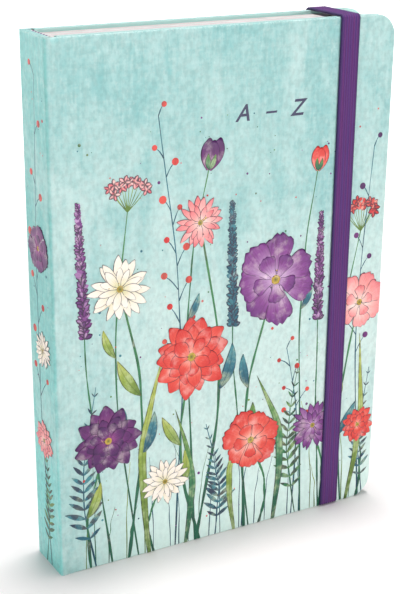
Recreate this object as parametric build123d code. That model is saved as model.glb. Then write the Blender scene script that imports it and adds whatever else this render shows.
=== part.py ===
from build123d import *
import os

# Hardcover address book, standing upright on its tail edge.
# Millimetres, +Z up. The spine faces -X, the fore edge +X and the front cover -Y.
# The origin is on the standing surface, below the middle of the closed book.

# Case: two cover boards and a spine board under one printed paper
cover_width = 126.0            # spine face to fore edge
cover_height = 178.0
cover_corner_radius = 7.5      # the two rounded corners at the fore edge
board_thickness = 2.0
spine_board_thickness = 1.6
spine_edge_radius = 1.2        # long outer edges of the spine
wrap_thickness = 0.3           # printed cover paper
wrap_edge_radius = 0.5         # where the paper turns over a board's edge
turn_in_width = 14.0           # paper folded round to the inside of the boards
joint_gap = 2.4                # bare paper between spine board and cover board
joint_crease_depth = 0.12

# Endpapers
pastedown_thickness = 0.2
pastedown_margin = 3.0
flyleaf_thickness = 0.25
leaf_clearance = 0.2

# Text block: one sewn section for each index tab
section_names = ["ab", "cd", "ef", "gh", "ij", "kl", "mn", "op", "qr", "st", "uv", "wx", "yz"]
section_thickness = 0.76
section_gap = 0.26             # air between the leaves of neighbouring sections
head_square = 1.5              # covers stand proud of the pages at head and tail
fore_square = 2.0              # and at the fore edge
page_corner_radius = 5.5
tab_width = 8.0
tab_corner_radius = 2.5
tab_root_radius = 1.2

# Back of the text block
spine_hollow = 0.5             # open space between spine board and lining
lining_thickness = 0.4
lining_inset = 14.0            # lining stops short of head and tail
thread_diameter = 0.4
thread_clearance = 0.05
sewing_stations = 5
headband_diameter = 1.2
headband_clearance = 0.15
headband_tape_thickness = 0.3
headband_tape_length = 8.0

# Elastic closure, fixed in two slits of the back cover
band_width = 7.4
band_thickness = 0.9
band_edge_inset = 15.0         # fore edge to the near edge of the band
band_bend_radius = 0.7
band_lap = 1.0                 # fixed ends reach this far over the back cover's edge
band_tail_length = 12.0        # glued end under the back pastedown
band_pressed_thickness = 0.6   # run under the tail edge, flattened by the book's weight
band_floor_clearance = 0.05
band_dent_depth = 0.7          # dent in the tail edges of the covers
slit_inset = 16.0
slit_clearance = 0.2

# Values that follow from the sizes above
section_count = len(section_names)
section_pitch = section_thickness + section_gap
block_thickness = section_count * section_thickness + (section_count - 1) * section_gap
panel_thickness = wrap_thickness + board_thickness + wrap_thickness + pastedown_thickness
flyleaf_space = leaf_clearance + flyleaf_thickness + leaf_clearance
closed_thickness = 2 * (panel_thickness + flyleaf_space) + block_thickness
half_thickness = closed_thickness / 2

spine_face_x = -cover_width / 2
fore_edge_x = cover_width / 2
spine_inner_x = spine_face_x + wrap_thickness + spine_board_thickness
hinge_x = spine_inner_x + joint_gap / 2
board_start_x = spine_inner_x + joint_gap
lining_x = spine_inner_x + wrap_thickness + spine_hollow
thread_x = lining_x + lining_thickness + thread_clearance + thread_diameter / 2
fold_x = thread_x + thread_diameter / 2 + thread_clearance + section_thickness / 2
page_edge_x = fore_edge_x - fore_square
page_bottom = head_square
page_top = cover_height - head_square
tab_height = (page_top - page_bottom) / section_count

board_outer_y = half_thickness - wrap_thickness
board_inner_y = board_outer_y - board_thickness
turn_in_y = board_inner_y - wrap_thickness
panel_inner_y = turn_in_y - pastedown_thickness
flyleaf_y = panel_inner_y - leaf_clearance - flyleaf_thickness / 2

band_x = fore_edge_x - band_edge_inset - band_width / 2
band_slot_half = band_width / 2 + slit_clearance


def block(x, y, z):
    """A box between two corners, given as (low, high) along each axis."""
    middle = Pos((x[0] + x[1]) / 2, (y[0] + y[1]) / 2, (z[0] + z[1]) / 2)
    return middle * Box(x[1] - x[0], y[1] - y[0], z[1] - z[0])


def fore_rounded(x, z, radius):
    """Outline of a cover or leaf: square at the spine, rounded at the fore edge."""
    outline = Pos((x[0] + x[1]) / 2, (z[0] + z[1]) / 2) * Rectangle(x[1] - x[0], z[1] - z[0])
    return fillet(outline.vertices().sort_by(Axis.X)[-2:], radius)


def plate(outline, y):
    """An outline drawn in X and Z, made solid between two values of Y."""
    return extrude(Pos(0, y[1], 0) * (Plane.XZ * outline), amount=y[1] - y[0])


def upright(outline, z):
    """An outline drawn in X and Y, made solid between two heights."""
    return extrude(Pos(0, 0, z[0]) * outline, amount=z[1] - z[0])


def to_front(solid):
    """The cover parts are drawn at the back and mirrored to the front."""
    return mirror(solid, about=Plane.XZ)


def band_dent(depth, side):
    """Room in a tail edge for the elastic that passes under it."""
    span = band_slot_half + side
    return block((band_x - span, band_x + span), (0, closed_thickness), (-depth, depth))


def slit(z):
    """The opening in the back cover that one end of the elastic goes through."""
    half_height = band_thickness / 2 + slit_clearance
    return block(
        (band_x - band_slot_half, band_x + band_slot_half),
        (0, closed_thickness),
        (z - half_height, z + half_height),
    )


def make_board():
    outline = fore_rounded(
        (board_start_x, fore_edge_x - wrap_thickness),
        (wrap_thickness, cover_height - wrap_thickness),
        cover_corner_radius - wrap_thickness,
    )
    board = plate(outline, (board_inner_y, board_outer_y))
    return board - band_dent(band_dent_depth + wrap_thickness, wrap_thickness)


def make_cover_wrap(board):
    """Printed paper round one board: outer face, three edges and the turn-ins."""
    outline = fore_rounded((board_start_x, fore_edge_x), (0, cover_height), cover_corner_radius)
    paper = plate(outline, (turn_in_y, half_thickness))
    outer_edges = paper.faces().sort_by(Axis.Y)[-1].edges()
    paper = fillet([e for e in outer_edges if e.center().X > board_start_x + joint_gap], wrap_edge_radius)
    window = block(
        (board_start_x, fore_edge_x - turn_in_width),
        (turn_in_y, board_inner_y),
        (turn_in_width, cover_height - turn_in_width),
    )
    return paper - band_dent(band_dent_depth, 0) - board - window


def make_pastedown(wrap):
    outline = fore_rounded(
        (board_start_x, fore_edge_x - pastedown_margin),
        (pastedown_margin, cover_height - pastedown_margin),
        cover_corner_radius - pastedown_margin,
    )
    return plate(outline, (panel_inner_y, board_inner_y)) - wrap


def make_flyleaf():
    outline = fore_rounded((fold_x, page_edge_x), (page_bottom, page_top), page_corner_radius)
    half = flyleaf_thickness / 2
    leaf = plate(outline, (flyleaf_y - half, flyleaf_y + half))
    fold = Pos(fold_x, flyleaf_y) * Circle(half)
    return leaf + upright(fold, (page_bottom, page_top))


def make_joint_strip():
    """The bare paper that bends when a cover opens, creased along the middle."""
    face = half_thickness
    inside = face - wrap_thickness
    crease = joint_crease_depth
    outer = ThreePointArc((spine_inner_x, face), (hinge_x, face - crease), (board_start_x, face))
    inner = ThreePointArc((board_start_x, inside), (hinge_x, inside - crease), (spine_inner_x, inside))
    sides = Line(outer @ 1, inner @ 0) + Line(inner @ 1, outer @ 0)
    return upright(make_face(outer + inner + sides), (0, cover_height))


def make_spine_board():
    board = block(
        (spine_face_x + wrap_thickness, spine_inner_x),
        (-board_outer_y, board_outer_y),
        (wrap_thickness, cover_height - wrap_thickness),
    )
    long_edges = board.edges().filter_by(Axis.Z).sort_by(Axis.X)[:2]
    return fillet(long_edges, spine_edge_radius - wrap_thickness)


def make_spine_wrap(board):
    paper = block((spine_face_x, spine_inner_x), (-half_thickness, half_thickness), (0, cover_height))
    paper = fillet(paper.edges().filter_by(Axis.Z).sort_by(Axis.X)[:2], spine_edge_radius)
    flap_half = board_outer_y - joint_crease_depth
    for z in ((0, turn_in_width), (cover_height - turn_in_width, cover_height)):
        paper += block((spine_inner_x, spine_inner_x + wrap_thickness), (-flap_half, flap_half), z)
    return paper - board


def make_lining():
    return block(
        (lining_x, lining_x + lining_thickness),
        (-block_thickness / 2, block_thickness / 2),
        (page_bottom + lining_inset, page_top - lining_inset),
    )


def make_sewing_thread():
    """One run of thread across the folds at each sewing station."""
    first = page_bottom + lining_inset
    step = (page_top - page_bottom - 2 * lining_inset) / (sewing_stations + 1)
    runs = []
    for station in range(1, sewing_stations + 1):
        place = Pos(thread_x, 0, first + station * step) * Rot(X=90)
        runs.append(place * Cylinder(thread_diameter / 2, block_thickness))
    return Compound(children=runs)


def make_headband(z_page, outward):
    """A sewn bead over the ends of the folds, on a tape behind the lining."""
    radius = headband_diameter / 2
    bead_z = z_page + outward * (headband_clearance + radius)
    tape_end = z_page - outward * headband_tape_length
    bead = Pos(lining_x + radius / 2, 0, bead_z) * Rot(X=90) * Cylinder(radius, block_thickness)
    tape = block(
        (lining_x - thread_clearance - headband_tape_thickness, lining_x - thread_clearance),
        (-block_thickness / 2, block_thickness / 2),
        (min(bead_z, tape_end), max(bead_z, tape_end)),
    )
    return bead + tape


def make_section(index):
    """Folded leaves with one index tab. Below its tab a section is cut back to show the next tabs."""
    y = -block_thickness / 2 + section_thickness / 2 + index * section_pitch
    half = section_thickness / 2
    cut_x = page_edge_x - tab_width
    tab_foot = page_top - (index + 1) * tab_height
    if index == section_count - 1:
        outline = fore_rounded((fold_x, page_edge_x), (page_bottom, page_top), page_corner_radius)
    else:
        points = [
            (fold_x, page_bottom),
            (cut_x, page_bottom),
            (cut_x, tab_foot),
            (page_edge_x, tab_foot),
            (page_edge_x, page_top),
            (fold_x, page_top),
        ]
        outline = make_face(Polyline(*points, close=True))
        radii = [page_corner_radius, tab_root_radius, tab_corner_radius, page_corner_radius]
        for point, radius in zip(points[1:5], radii):
            corner = outline.vertices().sort_by_distance((point[0], point[1], 0))[0]
            outline = fillet(corner, radius)
    leaves = plate(outline, (y - half, y + half))
    fold = Pos(fold_x, y) * Circle(half)
    return leaves + upright(fold, (page_bottom, page_top))


def band_piece(y, z):
    """A straight run of the elastic, given by its limits in Y and Z."""
    return block((band_x - band_width / 2, band_x + band_width / 2), y, z)


def round_bends(piece, y, heights):
    """Round the elastic's outer bends, which run across its width at one Y."""
    bends = [e for e in piece.edges().filter_by(Axis.X)
             if abs(e.center().Y - y) < wrap_thickness
             and min(abs(e.center().Z - z) for z in heights) < wrap_thickness]
    return fillet(bends, band_bend_radius)


def make_elastic_front():
    front = -half_thickness - band_thickness
    bottom = band_floor_clearance
    top = cover_height + band_thickness
    return round_bends(band_piece((front, -half_thickness), (bottom, top)), front, (bottom, top))


def make_elastic_sides():
    """The runs over the head edges and under the tail edges."""
    span = (-half_thickness, half_thickness - band_lap)
    over = band_piece(span, (cover_height, cover_height + band_thickness))
    under = band_piece(span, (band_floor_clearance, band_floor_clearance + band_pressed_thickness))
    return Compound(children=[over, under])


def make_elastic_ends():
    """Each end runs down the back cover, through its slit and flat under the pastedown."""
    back = half_thickness + band_thickness
    half = band_thickness / 2
    ends = []
    top = cover_height + band_thickness
    bottom = band_floor_clearance
    laps = [(cover_height, top), (bottom, bottom + band_pressed_thickness)]
    for slit_z, lap, outer_z, inward in ((cover_height - slit_inset, laps[0], top, -1),
                                         (slit_inset, laps[1], bottom, 1)):
        slit_end = slit_z + inward * half
        tail_end = slit_z + inward * (half + band_tail_length)
        end = band_piece((half_thickness - band_lap, back), lap)
        end += band_piece((half_thickness, back), tuple(sorted((outer_z, slit_end))))
        end += band_piece((board_inner_y, back), (slit_z - half, slit_z + half))
        end += band_piece((board_inner_y, board_inner_y + band_thickness), tuple(sorted((slit_z, tail_end))))
        ends.append(round_bends(end, back, (outer_z, slit_end)))
    return Compound(children=ends)


def tail_recess(slit_z, inward):
    """Pressed-in seat of a glued end of the elastic, in the inner face of the back board."""
    far = slit_z + inward * (band_thickness / 2 + band_tail_length + slit_clearance)
    return block(
        (band_x - band_slot_half, band_x + band_slot_half),
        (board_inner_y, board_inner_y + band_thickness),
        tuple(sorted((slit_z, far))),
    )


parts = {}

# Back cover, with the slits that hold the elastic
plain_board = make_board()
plain_wrap = make_cover_wrap(plain_board)
plain_pastedown = make_pastedown(plain_wrap)
slits = slit(slit_inset) + slit(cover_height - slit_inset)
recesses = tail_recess(slit_inset, 1) + tail_recess(cover_height - slit_inset, -1)
parts["back_board"] = plain_board - slits - recesses
parts["back_cover_wrap"] = plain_wrap - slits
parts["back_pastedown"] = plain_pastedown
parts["back_joint_strip"] = make_joint_strip()
parts["back_flyleaf"] = make_flyleaf()

# Front cover
parts["front_board"] = to_front(plain_board)
parts["front_cover_wrap"] = to_front(plain_wrap)
parts["front_pastedown"] = to_front(plain_pastedown)
parts["front_joint_strip"] = to_front(make_joint_strip())
parts["front_flyleaf"] = to_front(make_flyleaf())

# Spine
parts["spine_board"] = make_spine_board()
parts["spine_wrap"] = make_spine_wrap(parts["spine_board"])
parts["spine_lining"] = make_lining()
parts["sewing_thread"] = make_sewing_thread()
parts["headband"] = make_headband(page_top, 1)
parts["tailband"] = make_headband(page_bottom, -1)

# Text block
for index, name in enumerate(section_names):
    parts["section_" + name] = make_section(index)

# Elastic closure
parts["elastic_front_run"] = make_elastic_front()
parts["elastic_side_runs"] = make_elastic_sides()
parts["elastic_ends"] = make_elastic_ends()

os.makedirs("parts", exist_ok=True)
for node, solid in parts.items():
    export_step(solid, "parts/" + node + ".step")
print(len(parts), "pieces, closed thickness", round(closed_thickness, 2), "mm")
print("hinge", round(hinge_x, 3), "fold", round(fold_x, 3), "band", round(band_x, 3))
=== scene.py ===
import math
import random
from functools import partialmethod

import bmesh
import bpy
import numpy
from mathutils import Matrix, Vector


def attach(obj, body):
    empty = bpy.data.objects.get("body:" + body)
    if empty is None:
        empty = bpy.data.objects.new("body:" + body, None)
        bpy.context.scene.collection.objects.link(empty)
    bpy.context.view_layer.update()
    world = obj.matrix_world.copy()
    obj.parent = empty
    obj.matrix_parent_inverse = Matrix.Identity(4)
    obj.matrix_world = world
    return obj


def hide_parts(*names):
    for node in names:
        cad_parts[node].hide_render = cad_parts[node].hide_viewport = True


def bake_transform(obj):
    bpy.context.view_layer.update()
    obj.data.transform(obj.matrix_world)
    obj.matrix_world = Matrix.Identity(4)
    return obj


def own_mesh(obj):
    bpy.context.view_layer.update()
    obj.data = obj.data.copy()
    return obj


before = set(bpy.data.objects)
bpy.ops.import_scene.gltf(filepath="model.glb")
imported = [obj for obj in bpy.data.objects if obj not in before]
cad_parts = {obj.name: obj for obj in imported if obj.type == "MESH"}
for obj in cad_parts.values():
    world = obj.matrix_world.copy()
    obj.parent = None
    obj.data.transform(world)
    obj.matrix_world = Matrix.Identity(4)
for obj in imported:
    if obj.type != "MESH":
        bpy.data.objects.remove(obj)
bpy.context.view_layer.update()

mm = 0.001
fullTurn = 2 * math.pi

# sizes the pieces share, in millimetres: -X spine, +X fore edge, -Y front cover
book = {
    "halfWidth": 63.0,
    "height": 178.0,
    "halfThick": 9.95,
    "cornerRadius": 7.5,
    "edgeRadius": 0.5,
    "spineRadius": 1.2,
    "spineInner": -61.1,
    "boardStart": -58.7,
    "paper": 0.3,
    "crease": 0.12,
}


class Wire:
    # one socket of a node tree; sums written on it add Math nodes
    def __init__(self, graph, socket):
        self.graph = graph
        self.socket = socket

    def maths(self, operation, other=0.0, reflected=False):
        first, second = (other, self) if reflected else (self, other)
        return self.graph.add("ShaderNodeMath", {0: first, 1: second}, operation=operation)[0]

    __add__ = __radd__ = partialmethod(maths, "ADD")
    __mul__ = __rmul__ = partialmethod(maths, "MULTIPLY")
    __sub__ = partialmethod(maths, "SUBTRACT")
    __rsub__ = partialmethod(maths, "SUBTRACT", reflected=True)
    __truediv__ = partialmethod(maths, "DIVIDE")
    __rtruediv__ = partialmethod(maths, "DIVIDE", reflected=True)
    __pow__ = partialmethod(maths, "POWER")
    __abs__ = partialmethod(maths, "ABSOLUTE")
    sine = partialmethod(maths, "SINE")
    fraction = partialmethod(maths, "FRACT")
    most = partialmethod(maths, "MAXIMUM")

    def ramp(self, start, end):
        # 0 up to start, 1 from end on, eased between; start may be the larger one
        sockets = {0: self, 1: start, 2: end}
        return self.graph.add("ShaderNodeMapRange", sockets, interpolation_type="SMOOTHSTEP")[0]

    def within(self, rise, fall):
        return self.ramp(*rise) * self.ramp(*fall)


class Graph:
    # a shader or geometry tree that is filled node by node
    def __init__(self, tree):
        self.tree = tree

    def add(self, kind, sockets=None, **settings):
        # the settings are set first, then the sockets, by number or name
        node = self.tree.nodes.new(kind)
        for name, value in settings.items():
            setattr(node, name, value)
        for key, value in (sockets or {}).items():
            if isinstance(value, Wire):
                self.tree.links.new(value.socket, node.inputs[key])
            else:
                node.inputs[key].default_value = value
        return [Wire(self, socket) for socket in node.outputs]

    def split(self, vector):
        return self.add("ShaderNodeSeparateXYZ", {0: vector})

    def join(self, x=0.0, y=0.0, z=0.0):
        return self.add("ShaderNodeCombineXYZ", {0: x, 1: y, 2: z})[0]

    def named(self, name):
        # a number that the points of a mesh carry
        return self.add("GeometryNodeInputNamedAttribute", {0: name}, data_type="FLOAT")[0]


class Finish(Graph):
    # one material, painted tone over tone; patterns read Object coordinates or the piece's attributes
    def __init__(self, name, ground=None):
        self.material = bpy.data.materials.new(name)
        self.material.use_nodes = True
        super().__init__(self.material.node_tree)
        self.tree.nodes.clear()
        coordinates = self.add("ShaderNodeTexCoord")
        self.facing, self.place = coordinates[1], coordinates[3]
        self.colour = ground

    def axes(self):
        # millimetres along X, Y and Z
        return [axis * 1000.0 for axis in self.split(self.place)]

    def attribute(self, name):
        return self.add("ShaderNodeAttribute", attribute_name=name)

    def printed(self):
        # what a printed layer carries: its tint, and where a point lies along, across and near the rim
        return self.attribute("tint")[0], *self.split(self.attribute("grain")[1])

    def noise(self, scale, detail, rough, stretch=None, shift=(0, 0, 0), at=None):
        place = at or self.place
        if stretch:
            place = self.add("ShaderNodeMapping", {0: place, 1: shift, 3: stretch})[0]
        return self.add("ShaderNodeTexNoise", {0: place, 2: scale, 3: detail, 4: rough})[0]

    def mix(self, mask, first, second, mode="MIX"):
        sockets = {0: mask, 6: first, 7: second}
        return self.add("ShaderNodeMix", sockets, data_type="RGBA", blend_type=mode)[2]

    def paint(self, mask, tone, mode="MIX"):
        # lays a tone over the colour so far
        self.colour = self.mix(mask, self.colour, tone, mode)

    def times(self, first, second):
        return self.mix(1.0, first, second, "MULTIPLY")

    def close(self, roughness, bump=None, sockets=None):
        # a bump is its height, its depth in metres and its strength
        sockets = {"Base Color": self.colour, "Roughness": roughness, **(sockets or {})}
        if bump:
            height, depth, strength = bump
            sockets["Normal"] = self.add("ShaderNodeBump", {0: strength, 1: depth, 3: height})[0]
        shader = self.add("ShaderNodeBsdfPrincipled", sockets)[0]
        self.add("ShaderNodeOutputMaterial", {0: shader})
        return self.material


def rgb(red, green, blue):
    # a screen colour, 0 to 255, as the linear colour that the nodes take
    linear = []
    for value in (red, green, blue):
        share = value / 255
        linear.append(share / 12.92 if share <= 0.04045 else ((share + 0.055) / 1.055) ** 2.4)
    return (*linear, 1.0)


def startTree(name, **inputs):
    # a geometry tree with named inputs; gives its graph and the wires of the mesh and those inputs
    tree = bpy.data.node_groups.new(name, "GeometryNodeTree")
    for label, kind in {"Geometry": "Geometry", **inputs}.items():
        tree.interface.new_socket(label, in_out="INPUT", socket_type="NodeSocket" + kind)
    tree.interface.new_socket("Geometry", in_out="OUTPUT", socket_type="NodeSocketGeometry")
    graph = Graph(tree)
    return graph, graph.add("NodeGroupInput")


def endTree(graph, geometry, material):
    real = graph.add("GeometryNodeRealizeInstances", {0: geometry})[0]
    painted = graph.add("GeometryNodeSetMaterial", {0: real, 2: material})[0]
    graph.add("NodeGroupOutput", {0: painted})
    return graph.tree


def newObject(name, data):
    piece = bpy.data.objects.new(name, data)
    bpy.context.scene.collection.objects.link(piece)
    return piece


def plainMesh(holder):
    # the holder's evaluated shape as a mesh of its own; the holder goes
    depsgraph = bpy.context.evaluated_depsgraph_get()
    mesh = bpy.data.meshes.new_from_object(holder.evaluated_get(depsgraph), depsgraph=depsgraph)
    bpy.data.objects.remove(holder)
    return mesh


def grow(name, mesh, tree, values):
    # runs a geometry tree on a mesh and keeps the result as a plain mesh object
    holder = newObject(name + ".seed", mesh)
    modifier = holder.modifiers.new("grow", "NODES")
    modifier.node_group = tree
    for item in tree.interface.items_tree:
        if item.in_out == "INPUT" and item.name in values:
            modifier[item.identifier] = values[item.name]
    piece = newObject(name, plainMesh(holder))
    piece.data.name = name
    return piece


def meshFrom(name, points, faces, edges=()):
    # points in millimetres
    mesh = bpy.data.meshes.new(name)
    mesh.from_pydata([tuple(c * mm for c in p) for p in points], list(edges), faces)
    mesh.update()
    return mesh


def smooth(mesh):
    mesh.polygons.foreach_set("use_smooth", [True] * len(mesh.polygons))
    mesh.update()


def move(mesh, x, y, z):
    mesh.transform(Matrix.Translation(Vector((x, y, z)) * mm))


pointKinds = {1: ("FLOAT", "value"), 3: ("FLOAT_VECTOR", "vector"), 4: ("FLOAT_COLOR", "color")}


def carry(mesh, **attributes):
    # gives the points of a mesh numbers, vectors or colours to carry
    for name, values in attributes.items():
        kind, field = pointKinds[numpy.size(values[0])]
        mesh.attributes.new(name, kind, "POINT").data.foreach_set(field, numpy.ravel(values))
    return mesh


def makeSheet(name, side, look, section, finish):
    # a closed sheet up the book; for a share of its width, section gives x and y on both of its faces
    wide, tall = look["columns"] + 1, look["rows"] + 1
    count = wide * tall
    front, back, faces = [], [], []
    for row in range(tall):
        z = look["low"] + (look["high"] - look["low"]) * row / (tall - 1)
        rounding = look["rounding"] if row in (0, tall - 1) else 0.0
        for column in range(wide):
            (x, y), (backX, backY) = section(column / (wide - 1))
            front.append((x, side * (y - rounding), z))
            back.append((backX, side * backY, z))
    for row in range(tall - 1):
        for a in range(row * wide, row * wide + wide - 1):
            quad = (a, a + 1, a + wide + 1, a + wide)
            faces += [quad, tuple(i + count for i in quad[::-1])]
    rim = list(range(wide - 1))
    rim += [row * wide + wide - 1 for row in range(tall - 1)]
    rim += [(tall - 1) * wide + column for column in range(wide - 1, 0, -1)]
    rim += [row * wide for row in range(tall - 1, 0, -1)]
    faces += [(b, a, a + count, b + count) for a, b in zip(rim, rim[1:] + rim[:1])]
    if side > 0:
        faces = [face[::-1] for face in faces]
    mesh = meshFrom(name, front + back, faces)
    smooth(mesh)
    mesh.materials.append(finish)
    return newObject(name, mesh)


def aim(name, data, place, forward, roll=0.0):
    # a camera or lamp at a place in metres that looks along a direction
    turned = forward.to_track_quat("-Z", "Y").to_matrix().to_4x4()
    piece = newObject(name, data)
    piece.matrix_world = Matrix.Translation(place) @ turned @ Matrix.Rotation(roll, 4, "Z")
    return piece


# camera and light

cameraLook = {
    "turn": 30.0,
    "tilt": 20.9,
    "roll": 0.7,
    "distance": 458.28,
    "target": (-0.34, 0.0, 73.02),
    "lens": 80.94,
    "shift": (-0.0202, 0.0587),
    "clip": (0.01, 50.0),
}


def addCamera(look):
    turn, tilt, roll = (math.radians(look[k]) for k in ("turn", "tilt", "roll"))
    level = math.cos(tilt)
    forward = Vector((math.sin(turn) * level, math.cos(turn) * level, -math.sin(tilt)))
    place = (Vector(look["target"]) - forward * look["distance"]) * mm
    data = bpy.data.cameras.new("camera")
    data.lens = look["lens"]
    data.shift_x, data.shift_y = look["shift"]
    data.clip_start, data.clip_end = look["clip"]
    bpy.context.scene.camera = aim("camera", data, place, forward, roll)


studio = {
    "sky": (1.0, 1.0, 1.0, 1.0),
    "skyStrength": 0.2,
    "backdrop": 1.0,
    "floorSize": 30.0,
    "floorColour": rgb(250, 246, 246),
    "floorSpeck": rgb(236, 236, 236),
    "floorGlow": 0.84,      # only well away from the object, so that the far floor stays white
    "glowFrom": 200.0,
    "glowTo": 750.0,
    "aim": (0, 0, 0.08),
    "lampSize": 0.4,
    "lamps": [
        # name, place in metres, power in watts, tint
        ("topLamp", (0.08, 0.078, 1.7), 27.5, (1.0, 1.0, 1.0)),
        ("frontLamp", (0.75, -2.0, 0.24), 15.7, (1.0, 0.99, 0.975)),
        ("sideLamp", (-1.8, -0.7, 0.24), 5.9, (0.98, 0.99, 1.0)),
        ("backLamp", (-0.5, 2.0, 0.24), 9.0, (1.0, 1.0, 1.0)),
        ("foreLamp", (1.9, 0.5, 0.24), 5.0, (1.0, 1.0, 1.0)),
    ],
}


def addLamps(look):
    world = bpy.data.worlds.new("sky")
    world.use_nodes = True
    graph = Graph(world.node_tree)
    graph.tree.nodes.clear()
    seen = graph.add("ShaderNodeLightPath")[0]          # the backdrop itself stays white
    strength = seen * (look["backdrop"] - look["skyStrength"]) + look["skyStrength"]
    light = graph.add("ShaderNodeBackground", {0: look["sky"], 1: strength})[0]
    graph.add("ShaderNodeOutputWorld", {0: light})
    bpy.context.scene.world = world
    bpy.context.scene.view_settings.view_transform = "Standard"
    for name, place, power, tint in look["lamps"]:
        data = bpy.data.lights.new(name, "AREA")
        data.size = look["lampSize"]
        data.energy = power
        data.color = tint
        aim(name, data, place, Vector(look["aim"]) - Vector(place))


def addFloor(look):
    half = look["floorSize"] / 2
    corners = [(-half, -half, 0), (half, -half, 0), (half, half, 0), (-half, half, 0)]
    mesh = bpy.data.meshes.new("floor")
    mesh.from_pydata(corners, [], [(0, 1, 2, 3)])
    floor = newObject("floor", mesh)
    f = Finish("paleFloor", look["floorColour"])
    x, y, z = f.axes()
    f.paint(f.noise(40.0, 4.0, 0.55) * 0.02, look["floorSpeck"])
    far = ((x * x + y * y) ** 0.5).ramp(look["glowFrom"], look["glowTo"])
    mesh.materials.append(f.close(0.7, None, {
        "Specular IOR Level": 0.2,
        "Emission Color": f.mix(far, (0.0, 0.0, 0.0, 1.0), (1.0, 1.0, 1.0, 1.0)),
        "Emission Strength": look["floorGlow"],
    }))


addCamera(cameraLook)
addLamps(studio)
addFloor(studio)
print("camera, lamps and floor set")


# finishes: distances in millimetres, noise scales to the metre

coverPaper = {
    "pale": rgb(214, 236, 231),
    "mint": rgb(156, 202, 200),
    "deep": rgb(104, 182, 183),
    # painted shade: the spine's face in a deeper mint than the front; painted light: paler again towards its
    # foot, against the floor's shade
    "spine": rgb(112, 206, 198),
    "spineFootPaintedLight": rgb(134, 246, 238),
    "washed": rgb(216, 235, 231),
    "worn": rgb(228, 241, 238),
    # painted light: the turned-in paper paler than the outside, and the strip at the head paler still,
    # against the shade inside the cover
    "turned": rgb(206, 242, 234),
    "headTurnInPaintedLight": rgb(208, 255, 250),
    "shade": rgb(224, 226, 226),
    # painted light: the front paler towards its foot, against the shade the floor casts there
    "foot": rgb(232, 255, 248),
    "washHigh": 172.0,       # height on the cover where the wash starts to pale
    "washLow": 56.0,         # and where it is palest
    "roughness": 0.46,
    "edge": 0.9,             # width of the rubbed paper along the edges
    "threads": 900.0,        # canvas threads to the metre, near enough
}


def makeCoverPaper(look):
    # matt laminated paper printed with a mottled mint wash over a canvas grain; painted shade on the spine,
    # painted light at the foot and on the turned-in paper
    f = Finish("mintCoverPaper")
    x, y, z = f.axes()
    cloud = f.noise(22.0, 3.0, 0.6)
    blotch = f.noise(62.0, 5.0, 0.6, (1.0, 1.0, 0.5), (0.3, 0.1, 0.7))
    patch = f.noise(50.0, 5.0, 0.62, (1.0, 1.0, 0.5), (0.9, 0.4, 0.2))
    stroke = f.noise(150.0, 4.0, 0.6, (1.0, 1.0, 0.16), (0.5, 0.7, 0.1))
    mottle = f.noise(330.0, 4.0, 0.7, (1.0, 1.0, 0.8), (0.1, 0.8, 0.5))
    speck = f.noise(620.0, 3.0, 0.6, (1.0, 1.0, 0.75), (0.6, 0.2, 0.4))
    grain = f.noise(1500.0, 3.0, 0.65)
    warp = f.noise(look["threads"], 2.0, 0.6, (1.0, 1.0, 0.12))
    weft = f.noise(look["threads"], 2.0, 0.6, (0.12, 0.12, 1.0))
    canvas = warp * 0.58 + weft * 0.42
    spine = x.ramp(-62.0, -62.95)
    lowLeft = x.ramp(-14.0, -66.0) * z.ramp(118.0, 58.0)
    fade = z.ramp(look["washHigh"], look["washLow"]) * (1.0 - lowLeft * 0.75) + x.ramp(28.0, 62.0) * 0.14
    fade = fade * (1.0 - spine)
    bold = 1.0 - fade * 0.55            # marks are fainter where the wash is pale
    f.colour = f.mix(cloud * 0.5 + fade * 0.85 - 0.2, look["mint"], look["pale"])
    f.paint(blotch.ramp(0.47, 0.7) * 0.6 * bold, look["deep"])
    # painted shade on the spine's face, and painted light towards its foot
    f.paint(spine * 0.55, f.mix(z.ramp(0.0, 110.0), look["spineFootPaintedLight"], look["spine"]))
    f.paint(patch.ramp(0.5, 0.72) * 0.42, look["washed"])
    f.paint(stroke.ramp(0.54, 0.72) * 0.3 * bold, look["deep"])
    f.paint(stroke.ramp(0.46, 0.3) * 0.22, look["washed"])
    f.paint(mottle.ramp(0.52, 0.32) * 0.26 * bold, look["deep"])
    f.paint(mottle.ramp(0.52, 0.72) * 0.26, look["washed"])
    f.paint(canvas.ramp(0.52, 0.38) * 0.1 * bold, look["deep"])
    f.paint(canvas.ramp(0.5, 0.62) * 0.12, look["washed"])
    f.paint(speck.ramp(0.62, 0.34) * 0.5, look["shade"], "MULTIPLY")
    # painted light: paler towards the foot, against the floor's shade
    f.paint(z.ramp(46.0, 2.0) * x.ramp(-64.0, -30.0) * 0.5, look["foot"])
    inner = abs(y).ramp(8.0, 7.5) * x.ramp(-59.5, -58.5)        # paper turned in round the boards, a plain mint painted paler than the outside: painted light against the shade inside the cover
    f.paint(inner * 0.8, look["turned"])
    # painted light: the turn-in at the head, which shows above the leaves, brighter still
    f.paint(inner * z.ramp(175.0, 176.4) * 0.7, look["headTurnInPaintedLight"])
    half = book["height"] / 2
    nearEdge = (abs(z - half) - half).most(x - book["halfWidth"]) + look["edge"]
    rubbed = nearEdge.ramp(0.0, look["edge"]) * grain.ramp(0.4, 0.62)
    f.paint(rubbed * 0.4, look["worn"])
    roughness = grain * 0.12 + rubbed * 0.1 + (look["roughness"] - 0.06)
    return f.close(roughness, (canvas * 0.7 + grain * 0.3, 0.00008, 0.5), {"Specular IOR Level": 0.35})


printInk = {
    "outline": rgb(46, 28, 56),
    "wash": rgb(252, 240, 232),
    "leafLight": rgb(214, 226, 178),
    "roughness": 0.42,
    "gloss": {"Specular IOR Level": 0.4},
}


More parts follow.
